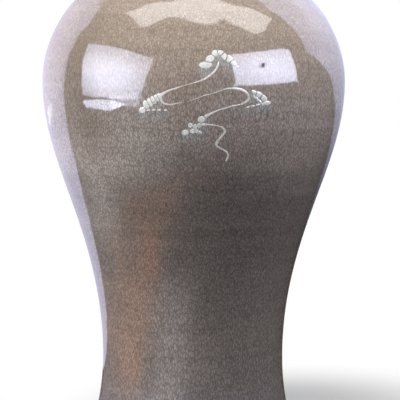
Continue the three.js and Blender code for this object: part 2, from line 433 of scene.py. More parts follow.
def turned_piece(name: str, form: VaseForm, outer: np.ndarray, rest: np.ndarray, sides: int) -> Object:
    """Turns a closed profile about the vase's axis.

    Args:
        name: the piece's name.
        form: the vase's form, for the marks of throwing on the outer stretch.
        outer: the stretch of the profile that shows outside.
        rest: the rest of the profile, which closes it.
        sides: how many sides a turn has.

    Returns:
        The new object.
    """
    profile = np.vstack((outer, rest))
    angle = np.linspace(0, 2 * math.pi, sides, endpoint=False)
    circle = np.column_stack((np.cos(angle), np.sin(angle)))
    rings = np.empty((len(profile), sides, 3))
    rings[..., :2] = profile[:, None, :1] * circle
    rings[..., 2] = profile[:, None, 1]
    shown = rings[: len(outer)]
    marks = form.hand_marks(shown.reshape(-1, 3)).reshape(len(outer), sides, 1)
    shown[..., :2] += marks * circle
    number = np.arange(len(profile) * sides).reshape(len(profile), sides)
    above = np.roll(number, -1, axis=0)
    quads = np.stack((number, np.roll(number, -1, axis=1), np.roll(above, -1, axis=1), above), axis=-1)
    on_axis = profile[:, 0] == 0
    quads = quads[~(on_axis & np.roll(on_axis, -1))]
    return make_piece(name, rings.reshape(-1, 3), quads.reshape(-1, 4).tolist(), TURNED_CREASE)


@dataclass(frozen=True)
class Finish(ABC):
    """What the finishes share: coats of colour over a base, and a Principled shader that they dress."""

    name: str

    @abstractmethod
    def dressing(self, add: AddNode, place: NodeSocket) -> Inputs:
        """Adds the finish's nodes.

        Args:
            add: adds a node to the material.
            place: the place on the vase.

        Returns:
            What the shader's inputs hold.
        """

    def material(self) -> Material:
        """Builds the finish.

        Returns:
            The new material.
        """
        made = bpy.data.materials.new(self.name)
        made.use_nodes = True
        tree = made.node_tree
        add = partial(add_node, tree)
        place = add("TexCoord").outputs["Object"]
        fill_inputs(tree, tree.nodes["Principled BSDF"], self.dressing(add, place))
        return made

    def _coated(self, add: AddNode, base: str, coats: list[Coat]) -> NodeSocket:
        """Lays coats of colour over a base, each over those before it.

        Args:
            add: adds a node to the material.
            base: the lowest colour.
            coats: the masks and colours.

        Returns:
            The colour that shows.
        """
        colour = linear_colour(base)
        for mask, code in coats:
            coat = add("Mix", {0: mask, MIX_A: colour, MIX_B: linear_colour(code)}, data_type="RGBA")
            colour = coat.outputs[MIX_RESULT]
        return colour

    def _crackle(
        self, add: AddNode, place: NodeSocket, size: float, width: float, strength: float
    ) -> NodeSocket:
        """Draws a network of cracks.

        Args:
            add: adds a node to the material.
            place: the place on the vase.
            size: the size of its cells.
            width: how wide a crack is.
            strength: how dark it is at most.

        Returns:
            How dark the cracks are, with 0 between them.
        """
        cells = add("TexVoronoi", {"Vector": place, "Scale": per_metre(size)}, feature="DISTANCE_TO_EDGE")
        span = {"From Max": width / size, "To Min": strength, "To Max": 0.0}
        return add("MapRange", {"Value": cells.outputs["Distance"], **span}).outputs[0]


@dataclass(frozen=True)
class CrackleGlaze(Finish):
    """Celadon-type glaze on thrown stoneware: a clear glass skin that crazed all over as it cooled.

    The eye sees a wet, mirror-like skin, and under it a grey body that grows paler up the belly and
    turns to buff on the shoulder, partly its own tone and partly painted light where more light falls
    from above, with painted shade darkening the foot. It is broken up by a fine labyrinth of stained
    cracks, drawn out upwards, with cloudy tones, faint throwing rings, a rusty iron flush, streaks of
    painted light and painted shade, and a few pinholes. Low on the foot it runs thin and dull.
    """

    body: str = "#817874"
    # foot: painted shade, which darkens the foot where its flare faces the light from above
    foot: str = "#757072"
    # belly and shoulder: partly the glaze's own paler tones, partly painted light where more light falls from
    # above
    belly: str = "#aea29b"
    shoulder: str = "#a19284"
    stain: str = "#3b3430"
    flush: str = "#ad8a77"
    # pale: painted light and a painted reflection in streaks on the front, and a paler streak at the back
    pale: str = "#b8afab"
    # painted shade, darkening a streak on the upper left
    painted_shade: str = "#6b5f54"
    halo: str = "#b0b3b3"
    pinhole: str = "#241d1a"
    shade: float = 1.0
    foot_shade_heights: Pair = (70, 15)  # between which one tone passes into the next
    belly_heights: Pair = (150, 191)
    shoulder_heights: Pair = (200, 248)
    uneven: float = 40  # how far clouds push those heights up and down
    crack_size: float = 1.12
    crack_width: float = 0.2
    crack_strength: float = 0.64
    shoulder_fading: float = 0.25  # how much weaker the cracks are on the shoulder
    mesh_size: float = 3.1  # the wider mesh of older, fainter cracks
    mesh_strength: float = 0.45
    lengthening: float = 0.32  # less than 1 draws the cracks out upwards
    cloud_size: float = 34
    cloud_span: Pair = (0.3, 0.7)  # between which most of the clouds' values lie
    ring_size: float = 4.4
    ring_length: float = 110
    cloud_share: float = 0.22
    ring_share: float = 0.36
    island_share: float = 0.22
    pinhole_spacing: float = 17
    pinhole_size: float = 0.45
    relief: float = 0.0014
    roughness: Pair = (0.045, 0.075)
    ior: float = 1.52
    gloss: Pair = (0.1, 0.5)  # how strongly it mirrors low on the foot, and above it
    gloss_heights: Pair = (33, 42)  # between which it gains its gloss

    def dressing(self, add: AddNode, place: NodeSocket) -> Inputs:
        """Adds the glaze's nodes.

        Args:
            add: adds a node to the material.
            place: the place on the vase.

        Returns:
            What the shader's inputs hold.
        """
        upwards = (1, 1, self.lengthening)
        drawn_out = add("VectorMath", {0: place, 1: upwards}, operation="MULTIPLY").outputs[0]
        height = add("SeparateXYZ", {0: place}).outputs["Z"]
        cloud_scale = per_metre(self.cloud_size)
        cloud = add("TexNoise", {"Vector": place, "Scale": cloud_scale, "Detail": 4}).outputs[0]
        cracks = self._cracks(add, drawn_out)
        pits = self._pinholes(add, place)
        zones = self._zones(add, height, cloud)
        on_shoulder = zones[-1][0]
        fading = {0: on_shoulder, 1: -self.shoulder_fading, 2: 1}
        kept = add("Math", fading, operation="MULTIPLY_ADD").outputs[0]
        stains = add("Math", {0: cracks, 1: kept}, operation="MULTIPLY").outputs[0]
        coats = [*zones, *self._painted(add), (stains, self.stain), (pits, self.pinhole)]
        colour = self._coated(add, self.body, coats)
        shades = self._shades(add, place, drawn_out, cloud)
        shaded = add("HueSaturation", {"Value": shades, "Color": colour})
        depth = add("Math", {0: cracks, 1: pits}, operation="ADD").outputs[0]
        bump = add("Bump", {"Height": depth, "Distance": self.relief * MM, "Strength": 1}, invert=True)
        low, high = self.cloud_span
        span = {"From Min": low, "From Max": high, "To Min": self.roughness[0], "To Max": self.roughness[1]}
        cloudy = add("MapRange", {"Value": cloud, **span}).outputs[0]
        rough = add("Math", {0: cloudy, 1: pits}, operation="MAXIMUM")
        low, high = self.gloss_heights
        span = {"From Min": low * MM, "From Max": high * MM, "To Min": self.gloss[0], "To Max": self.gloss[1]}
        mirroring = add("MapRange", {"Value": height, **span})
        return {
            "Base Color": shaded.outputs["Color"],
            "Roughness": rough.outputs[0],
            "IOR": self.ior,
            "Specular IOR Level": mirroring.outputs[0],
            "Normal": bump.outputs["Normal"],
        }

    def _painted(self, add: AddNode) -> list[Coat]:
        """Reads the iron flush, the streaks of painted light and painted shade, and the halos from the mesh's
        points.

        Args:
            add: adds a node to the material.

        Returns:
            A coat for each kind.
        """
        kinds = {
            Paint.LIT_AND_PALE: self.pale,
            Paint.FLUSH: self.flush,
            Paint.PAINTED_SHADE: self.painted_shade,
            Paint.HALO: self.halo,
        }
        return [(add("Attribute", attribute_name=kind.value).outputs["Fac"], kinds[kind]) for kind in kinds]

    def _zones(self, add: AddNode, height: NodeSocket, cloud: NodeSocket) -> list[Coat]:
        """Finds the tones by height: painted shade that darkens the foot, and a paler belly and buff
        shoulder, which are partly the glaze's own tone and partly painted light from above.

        Args:
            add: adds a node to the material.
            height: the height on the vase.
            cloud: the clouds that make the zones' edges uneven.

        Returns:
            A coat for each zone, from the foot up.
        """
        pushed = add("Math", {0: cloud, 1: self.uneven * MM, 2: height}, operation="MULTIPLY_ADD").outputs[0]
        middle = self.uneven / 2
        zones = []
        for (start, end), code in (
            (self.foot_shade_heights, self.foot),
            (self.belly_heights, self.belly),
            (self.shoulder_heights, self.shoulder),
        ):
            span = {"From Min": (start + middle) * MM, "From Max": (end + middle) * MM}
            mask = add("MapRange", {"Value": pushed, **span}, interpolation_type="SMOOTHSTEP")
            zones.append((mask.outputs[0], code))
        return zones

    def _shades(
        self, add: AddNode, place: NodeSocket, drawn_out: NodeSocket, cloud: NodeSocket
    ) -> NodeSocket:
        """Adds up how clouds, throwing lines and single islands of the crackle lighten or darken the glaze.

        Args:
            add: adds a node to the material.
            place: the place on the vase.
            drawn_out: the same, drawn out upwards as the crackle is.
            cloud: the clouds.

        Returns:
            A factor of about 1.
        """
        scale = [per_metre(size) for size in (self.ring_length, self.ring_length, self.ring_size)]
        flattened = add("VectorMath", {0: place, 1: scale}, operation="MULTIPLY").outputs[0]
        rings = add("TexNoise", {"Vector": flattened, "Scale": 1, "Detail": 3}).outputs[0]
        cells = add("TexVoronoi", {"Vector": drawn_out, "Scale": per_metre(self.crack_size)})
        total = self.shade - (self.cloud_share + self.ring_share + self.island_share) / 2
        for source, share in (
            (cloud, self.cloud_share),
            (rings, self.ring_share),
            (cells.outputs["Color"], self.island_share),
        ):
            total = add("Math", {0: source, 1: share, 2: total}, operation="MULTIPLY_ADD").outputs[0]
        return total

    def _cracks(self, add: AddNode, drawn_out: NodeSocket) -> NodeSocket:
        """Draws the labyrinth of fine cracks and the wider mesh.

        Args:
            add: adds a node to the material.
            drawn_out: the place on the vase, drawn out upwards.

        Returns:
            How dark the cracks are, from 0 to 1.
        """
        fine = self._crackle(add, drawn_out, self.crack_size, self.crack_width, self.crack_strength)
        wide = self._crackle(add, drawn_out, self.mesh_size, self.crack_width, self.mesh_strength)
        return add("Math", {0: fine, 1: wide}, operation="MAXIMUM").outputs[0]

    def _pinholes(self, add: AddNode, place: NodeSocket) -> NodeSocket:
        """Scatters pinholes, where gas broke through the melting glaze, among the painted iron specks.

        Args:
            add: adds a node to the material.
            place: the place on the vase.

        Returns:
            1 inside a pinhole or speck and 0 outside.
        """
        dots = add("TexVoronoi", {"Vector": place, "Scale": per_metre(self.pinhole_spacing)})
        edge = self.pinhole_size / self.pinhole_spacing
        span = {"From Min": edge / 2, "From Max": edge, "To Min": 1, "To Max": 0}
        holes = add("MapRange", {"Value": dots.outputs["Distance"], **span}).outputs[0]
        specks = add("Attribute", attribute_name=Paint.SPECK.value).outputs["Fac"]
        return add("Math", {0: holes, 1: specks}, operation="MAXIMUM").outputs[0]


@dataclass(frozen=True)
class WhiteSlip(Finish):
    """White clay slip that fills carved strokes, under the same glass.

    The eye sees white scallops with a cool cast, parted by thin grey lines, with the same wet gloss.
    """

    name: str = "white_slip_under_glaze"
    white: str = "#fcfbfa"
    cream: str = "#f0eee7"
    crack: str = "#757471"
    cloud_size: float = 3
    crack_size: float = 1.4
    crack_width: float = 0.2
    crack_strength: float = 0.5
    roughness: float = 0.06
    ior: float = 1.52

    def dressing(self, add: AddNode, place: NodeSocket) -> Inputs:
        """Adds the slip's nodes.

        Args:
            add: adds a node to the material.
            place: the place on the vase.

        Returns:
            What the shader's inputs hold.
        """
        cloud_scale = per_metre(self.cloud_size)
        cloud = add("TexNoise", {"Vector": place, "Scale": cloud_scale, "Detail": 3}).outputs[0]
        cracks = self._crackle(add, place, self.crack_size, self.crack_width, self.crack_strength)
        # the seams and thin slip read from the points, with painted shade on the crest
        seams = add("Attribute", attribute_name=Paint.SEAM.value).outputs["Fac"]
        dark = add("Math", {0: cracks, 1: seams}, operation="MAXIMUM").outputs[0]
        colour = self._coated(add, self.white, [(cloud, self.cream), (dark, self.crack)])
        return {"Base Color": colour, "Roughness": self.roughness, "IOR": self.ior}


@dataclass(frozen=True)
class BareStoneware(Finish):
    """Fired stoneware that was wiped clean of glaze where it stands in the kiln.

    The eye sees dry, toasted clay with dark grains of grog, and no gloss.
    """

    name: str = "bare_toasted_stoneware"
    clay: str = "#9a7258"
    toasted: str = "#7a5138"
    grog: str = "#4b3327"
    patch_size: float = 14
    grog_spacing: float = 2.4
    grog_edge: Pair = (0.12, 0.22)  # where a grain begins and ends to fade, as shares of that
    grog_strength: float = 0.8
    relief: float = 0.2
    roughness: float = 0.86

    def dressing(self, add: AddNode, place: NodeSocket) -> Inputs:
        """Adds the bare clay's nodes.

        Args:
            add: adds a node to the material.
            place: the place on the vase.

        Returns:
            What the shader's inputs hold.
        """
        patch_scale = per_metre(self.patch_size)
        patches = add("TexNoise", {"Vector": place, "Scale": patch_scale, "Detail": 5}).outputs[0]
        grain_scale = per_metre(self.grog_spacing)
        grains = add("TexVoronoi", {"Vector": place, "Scale": grain_scale}).outputs["Distance"]
        low, high = self.grog_edge
        span = {"From Min": low, "From Max": high, "To Min": self.grog_strength, "To Max": 0}
        specks = add("MapRange", {"Value": grains, **span}).outputs[0]
        bump = add("Bump", {"Height": grains, "Distance": self.relief * MM})
        colour = self._coated(add, self.clay, [(patches, self.toasted), (specks, self.grog)])
        return {"Base Color": colour, "Roughness": self.roughness, "Normal": bump.outputs["Normal"]}


@dataclass(frozen=True)
class Stroke:
    """A thin carved line: points across the vase and above the belly, with half its width at each."""

    node: str
    route: tuple[Place, ...]
    thin: float = 0.3  # how much of the clay shows through its slip

    def path(self, step: float) -> np.ndarray:
        """A smooth curve through the route, with points at even steps.

        Args:
            step: the distance between its points.

        Returns:
            One row for each point: across, above and half the width.
        """
        ends = np.array([self.route[0], *self.route, self.route[-1]], float)
        share = np.linspace(0, 1, ROUTE_STEPS, endpoint=False)[:, None]
        line = []
        for before, start, end, after in zip(ends, ends[1:], ends[2:], ends[3:]):
            leave, reach = (end - before) / 2, (after - start) / 2
            cubic = (2 * start - 2 * end + leave + reach) * share**3
            square = (3 * end - 3 * start - 2 * leave - reach) * share**2
            line.append(cubic + square + leave * share + start)
        return spaced(np.vstack((*line, [self.route[-1]])), step)


@dataclass(frozen=True)
class CloudHead:
    """A cluster of oval lobes, each by its middle across and above the belly, two half axes and its tilt."""

    node: str
    lobes: tuple[tuple[float, float, float, float, float], ...]
    thin: float = 0.08  # how much darker its slip is: clay showing through, and painted shade where more light falls

    def swells(self, flat: np.ndarray) -> np.ndarray:
        """How high the lobes stand at points of the front view.

        Args:
            flat: the points, across and above.

        Returns:
            For each point the two highest lobes, the higher one last: 1 in a lobe's middle, 0 at its edge.
        """
        heights = []
        for across, above, half_length, half_width, tilt in self.lobes:
            cosine, sine = math.cos(math.radians(tilt)), math.sin(math.radians(tilt))
            offset = (flat - (across, above)) @ np.array([[cosine, -sine], [sine, cosine]])
            heights.append(1 - np.sum((offset / (half_length, half_width)) ** 2, axis=-1))
        return np.sort(heights, axis=0)[-2:]

    def box(self) -> tuple[np.ndarray, np.ndarray]:
        """Finds a box round all its lobes.

        Returns:
            The box's lowest and highest corners.
        """
        lobes = np.array(self.lobes)
        reach = np.max(lobes[:, 2:4], axis=1, keepdims=True)
        return np.min(lobes[:, :2] - reach, axis=0), np.max(lobes[:, :2] + reach, axis=0)


@dataclass
class CloudScroll:
    """The white slip inlay: a traditional cloud scroll, one piece for each carved stroke and head."""

    form: VaseForm
    proud: float = 0.12  # how far the slip swells out of its pocket
    sunk: float = 0.6  # how far its edge lies in the wall, as a share of that
    depth: float = 1.2
    step: float = 0.3
    across: int = 9  # points across a stroke
    spread: float = 1.15  # how far the slip of a stroke has run beyond its carved edges
    patches: Waves = Waves(1, 1.6, 9, 2.3)  # thin places in a stroke's slip
    rim_rounds: int = 5  # how often a head's rim is moved towards its lobes' outline
    rim_nudge: float = 0.01  # the step that finds which way
    seam_fade: Pair = (0.1, 0.6)  # how far one lobe stands above the next where their seam fades
    seam_end: float = -0.2  # how low the lower one lies where it ends
    halo_drop: float = 3  # how far below a lobe the glaze has turned pale grey
    halo_size: float = 2.6
    halo_core: float = 0.2  # share of the halo that is strongest
    halo_side: float = 60  # no halo reaches farther across
    halo_strength: float = 0.65
    strokes: tuple[Stroke, ...] = (
        Stroke(
            "crest_tail_inlay",
            ((14.4, 10.7, 0.2), (13.9, 8.2, 0.46), (12.9, 6, 0.58), (11, 3.8, 0.58), (8.5, 1.8, 0.58),
             (5.5, 0, 0.52), (2.3, -1.1, 0.28), (-4, -2.9, 0.1), (-7.4, -4, 0.24), (-10.3, -5, 0.42),
             (-13.4, -6, 0.55), (-16.1, -7.3, 0.75), (-18.3, -8.6, 1)),
        ),
        Stroke(
            "left_curl_inlay",
            ((-18.2, -10.4, 0.69), (-17.3, -12.1, 0.58), (-15.6, -13.3, 0.46), (-12.6, -13.8, 0.35),
             (-9.4, -13.2, 0.23), (-5.7, -12.5, 0.06)),
        ),
        Stroke(
            "middle_wisp_inlay",
            ((-3.4, -12.1, 0.06), (1.2, -10.7, 0.14), (7.2, -8.4, 0.16), (10.3, -7.8, 0.1),
             (16.3, -5.6, 0.14)),
        ),
        Stroke(
            "right_hook_inlay",
            ((17.1, -5.3, 0.16), (19.8, -4.6, 0.34), (23.5, -4.7, 0.68), (26.7, -5.1, 0.82),
             (29.5, -6.4, 0.74), (31.3, -8.5, 0.66), (31.3, -10.6, 0.66), (29.5, -12.3, 0.6),
             (27.1, -13.6, 0.42)),
        ),
        Stroke(
            "right_tail_inlay",
            ((26.6, -13.7, 0.36), (22.4, -14.4, 0.32), (19, -15.5, 0.3), (14.9, -16.7, 0.38),
             (11.5, -18.1, 0.52), (8.9, -19.5, 0.8), (7.2, -20.5, 1)),
        ),
        Stroke(
            "trailing_tail_inlay",
            ((6.8, -24.7, 0.4), (13.8, -25.6, 0.28), (16.6, -26.5, 0.42), (18.1, -28.2, 0.62),
             (17.9, -29.8, 0.62), (15, -33.1, 0.66), (13.9, -34.8, 0.8), (13.5, -36.3, 0.72),
             (14.6, -37.7, 0.42), (18.6, -39.9, 0.4), (19.9, -41.5, 0.54), (20.2, -43.1, 0.66),
             (19.5, -44.9, 0.62), (18.8, -45.8, 0.2)),
        ),
    )
    heads: tuple[CloudHead, ...] = (
        CloudHead(
            "crest_inlay",
            ((7, 8.5, 3.9, 2.1, 3), (9.5, 12, 2.9, 2.1, 35), (12.4, 15.1, 2.1, 2, 0),
             (15.4, 15.4, 2.2, 1.6, -15), (17.7, 13.3, 2.6, 1.8, -50), (20.3, 12.1, 2.5, 2.2, -45),
             (22.7, 9.8, 2.4, 1.6, -42), (24.7, 7.8, 1.4, 0.9, -35)),
            # painted shade: the crest faces the light from above, so its slip is darkened
            thin=0.18,
        ),
        CloudHead(
            "left_head_inlay",
            ((-28.5, -16.9, 2.1, 1.9, 10), (-26.4, -13.8, 2.8, 1.8, -68), (-24.1, -12.6, 2.8, 1.6, -66),
             (-22.2, -11.3, 2.6, 1.5, -64), (-20.4, -10.1, 2.3, 1.4, -62), (-18.8, -9.1, 2.1, 1.3, -60)),
        ),
        CloudHead(
            "left_ripple_inlay",
            ((-24.9, -16.9, 1.3, 0.6, 0), (-22, -16.8, 1.4, 0.6, 0), (-18.9, -16.8, 1.3, 0.6, 0),
             (-15.3, -16.9, 1.2, 0.7, 0)),
        ),
        CloudHead(
            "right_head_inlay",
            ((34.7, -6.6, 2, 1.2, -38), (37.4, -7.9, 2.5, 1.7, -36), (40.2, -9.8, 2.5, 1.7, -38),
             (42, -12.6, 2.6, 1.3, 3)),
        ),
        CloudHead(
            "right_inner_inlay",
            ((34.8, -9.2, 1.6, 0.7, -66), (36.6, -10.4, 1.6, 0.7, -62), (38.3, -11.9, 1.5, 0.7, -60),
             (39.6, -13.4, 1, 0.6, -75)),
        ),
        CloudHead(
            "right_ripple_inlay",
            ((31, -15, 1.4, 0.5, 12), (34, -14.4, 1.3, 0.6, 10), (36.9, -13.6, 1.4, 0.6, 12)),
        ),
        # painted light: the lower bud and head, where less light falls, keep pure white slip
        CloudHead("lower_bud_inlay", ((5, -21.9, 2.4, 2, 28), (7.6, -20.1, 1.5, 1, 30)), thin=0),
        CloudHead(
            "lower_head_inlay",
            ((-4.1, -29.4, 2.3, 1.8, 18), (-1.3, -25.3, 1.5, 1.6, 0), (1.3, -26.1, 1.3, 1.7, 0),
             (3.7, -25.4, 1.5, 1.5, 0), (6.1, -24.9, 1.7, 0.9, 0), (-0.1, -28.6, 1.7, 1.6, 0),
             (2.2, -28.6, 1.2, 1.3, 0), (4.1, -29.3, 1.5, 1.1, -15)),
            thin=0,
        ),
    )

    def build(self, material: Material) -> None:
        """Builds every stroke and head, and dresses it.

        Args:
            material: the white slip.
        """
        for stroke in self.strokes:
            finish_mesh(self._stroke_piece(stroke), stroke.node, material)
        for head in self.heads:
            finish_mesh(self._head_piece(head), head.node, material)

    def on_wall(self, flat: np.ndarray, rise: np.ndarray) -> np.ndarray:
        """Lays points of the front view on the belly wall.

        Args:
            flat: points across the vase and above the belly.
            rise: how far each stands out from the wall.

        Returns:
            The places in millimetres.
        """
        height = self.form.belly_height + flat[:, 1]
        radius = np.interp(height, self.form.outside[:, 1], self.form.outside[:, 0])
        on_form = np.column_stack((flat[:, 0], -np.sqrt(radius**2 - flat[:, 0] ** 2), height))
        grown = (radius + self.form.hand_marks(on_form) + rise) / radius
        return on_form * np.column_stack((grown, grown, np.ones_like(grown)))

    def _slab(
        self, node: str, flat: np.ndarray, quads: np.ndarray, dome: np.ndarray, seam: np.ndarray
    ) -> Object:
        """Makes a closed piece of slip that fills its pocket in the wall and swells out of it.

        Args:
            node: the CAD node that it stands for.
            flat: points of the front view.
            quads: the numbers of each face's points.
            dome: how far the slip swells at each point, from 0 at its edge to 1.
            seam: how dark it is at each point.

        Returns:
            The new object.
        """
        below = len(flat)
        top = self.on_wall(flat, self.proud * ((1 + self.sunk) * dome - self.sunk))
        bottom = self.on_wall(flat, np.full(below, -self.depth))
        faces = [tuple(quad) for quad in quads.tolist()]
        edges = {pair for quad in faces for pair in zip(quad, quad[1:] + quad[:1])}
        rim = [(start, end) for start, end in edges if (end, start) not in edges]
        faces += [tuple(below + number for number in reversed(quad)) for quad in faces]
        faces += [(end, start, below + start, below + end) for start, end in rim]
        piece = make_piece(node + "_slip", np.vstack((top, bottom)), faces, SLIP_CREASE)
        paint(piece, Paint.SEAM, np.concatenate((seam, seam)))
        return piece

    def _stroke_piece(self, stroke: Stroke) -> Object:
        """Builds a thin line as a shallow ridge.

        Args:
            stroke: the line.

        Returns:
            The new object.
        """
        path, reach = np.split(stroke.path(self.step), [2], axis=1)
        along = np.gradient(path, axis=0)
        along /= np.hypot(*along.T)[:, None]
        side = np.column_stack((-along[:, 1], along[:, 0]))
        offset = np.linspace(-1, 1, self.across)
        flat = path[:, None, :] + side[:, None, :] * (self.spread * reach)[:, :, None] * offset[:, None]
        flat = flat.reshape(-1, 2)
        dome = np.tile(np.sqrt(1 - offset**2), len(path))
        patchy = 1 + self.patches.at(np.column_stack((flat, dome)))
        quads = grid_quads(len(path), self.across).reshape(-1, 4)
        return self._slab(stroke.node, flat, quads, dome, stroke.thin * patchy)

    def _head_piece(self, head: CloudHead) -> Object:
        """Builds a head on a fine grid that is trimmed to its lobes' outline.

        Args:
            head: the head.

        Returns:
            The new object.
        """
        low, high = head.box()
        columns, rows = (np.arange(low[i] - self.step, high[i] + self.step, self.step) for i in range(2))
        grid = np.stack(np.meshgrid(columns, rows), axis=-1)
        inside = head.swells((grid[:-1, :-1] + grid[1:, 1:]) / 2)[-1] > 0
        used, quads = np.unique(grid_quads(len(rows), len(columns))[inside], return_inverse=True)
        quads = quads.reshape(-1, 4)
        flat = grid.reshape(-1, 2)[used]
        rim = np.bincount(quads.ravel()) < 4
        for _ in range(self.rim_rounds):
            flat[rim] -= self._overshoot(head, flat[rim])
        lower, higher = head.swells(flat)
        dome = np.sqrt(np.clip(higher, 0, 1))
        dome[rim] = 0
        seam = (1 - smooth(*self.seam_fade, higher - lower)) * (lower > self.seam_end)
        # a head's thin darkens all its slip, as painted shade on the crest
        return self._slab(head.node, flat, quads, dome, np.maximum(seam, head.thin))

    def _overshoot(self, head: CloudHead, flat: np.ndarray) -> np.ndarray:
        """How far points lie off a head's outline, across and above.

        Args:
            head: the head.
            flat: the points.

        Returns:
            One row for each point.
        """
        value = head.swells(flat)[-1]
        ahead = [head.swells(flat + shift)[-1] for shift in np.eye(2) * self.rim_nudge]
        slope = np.column_stack([(there - value) / self.rim_nudge for there in ahead])
        return (value / np.sum(slope**2, axis=1))[:, None] * slope

    def halo(self, place: np.ndarray) -> np.ndarray:
        """How strongly the glaze below the heads has turned pale grey.

        Args:
            place: points on the wall in millimetres.

        Returns:
            A value from 0 to 1 for each point.
        """
        found = np.zeros(len(place))
        near = (place[:, 1] < 0) & (np.abs(place[:, 0]) < self.halo_side)
        flat = place[near][:, [0, 2]] - (0, self.form.belly_height)
        for head in self.heads:
            for across, above, half_length, _, _ in head.lobes:
                away = np.hypot(*(flat - (across, above - self.halo_drop)).T) / (half_length + self.halo_size)
                found[near] = np.maximum(found[near], 1 - smooth(self.halo_core, 1, away))
        return found * self.halo_strength


@dataclass(frozen=True)
class Streak:
    """A streak down the vase, by its angles from the front in degrees: iron flush, painted light, painted
    shade.
    """

    layer: Paint
    top_angle: float
    top_height: float
    foot_angle: float
    half_width: float
    strength: float
    thins_out: float = -40  # the height by which it is gone


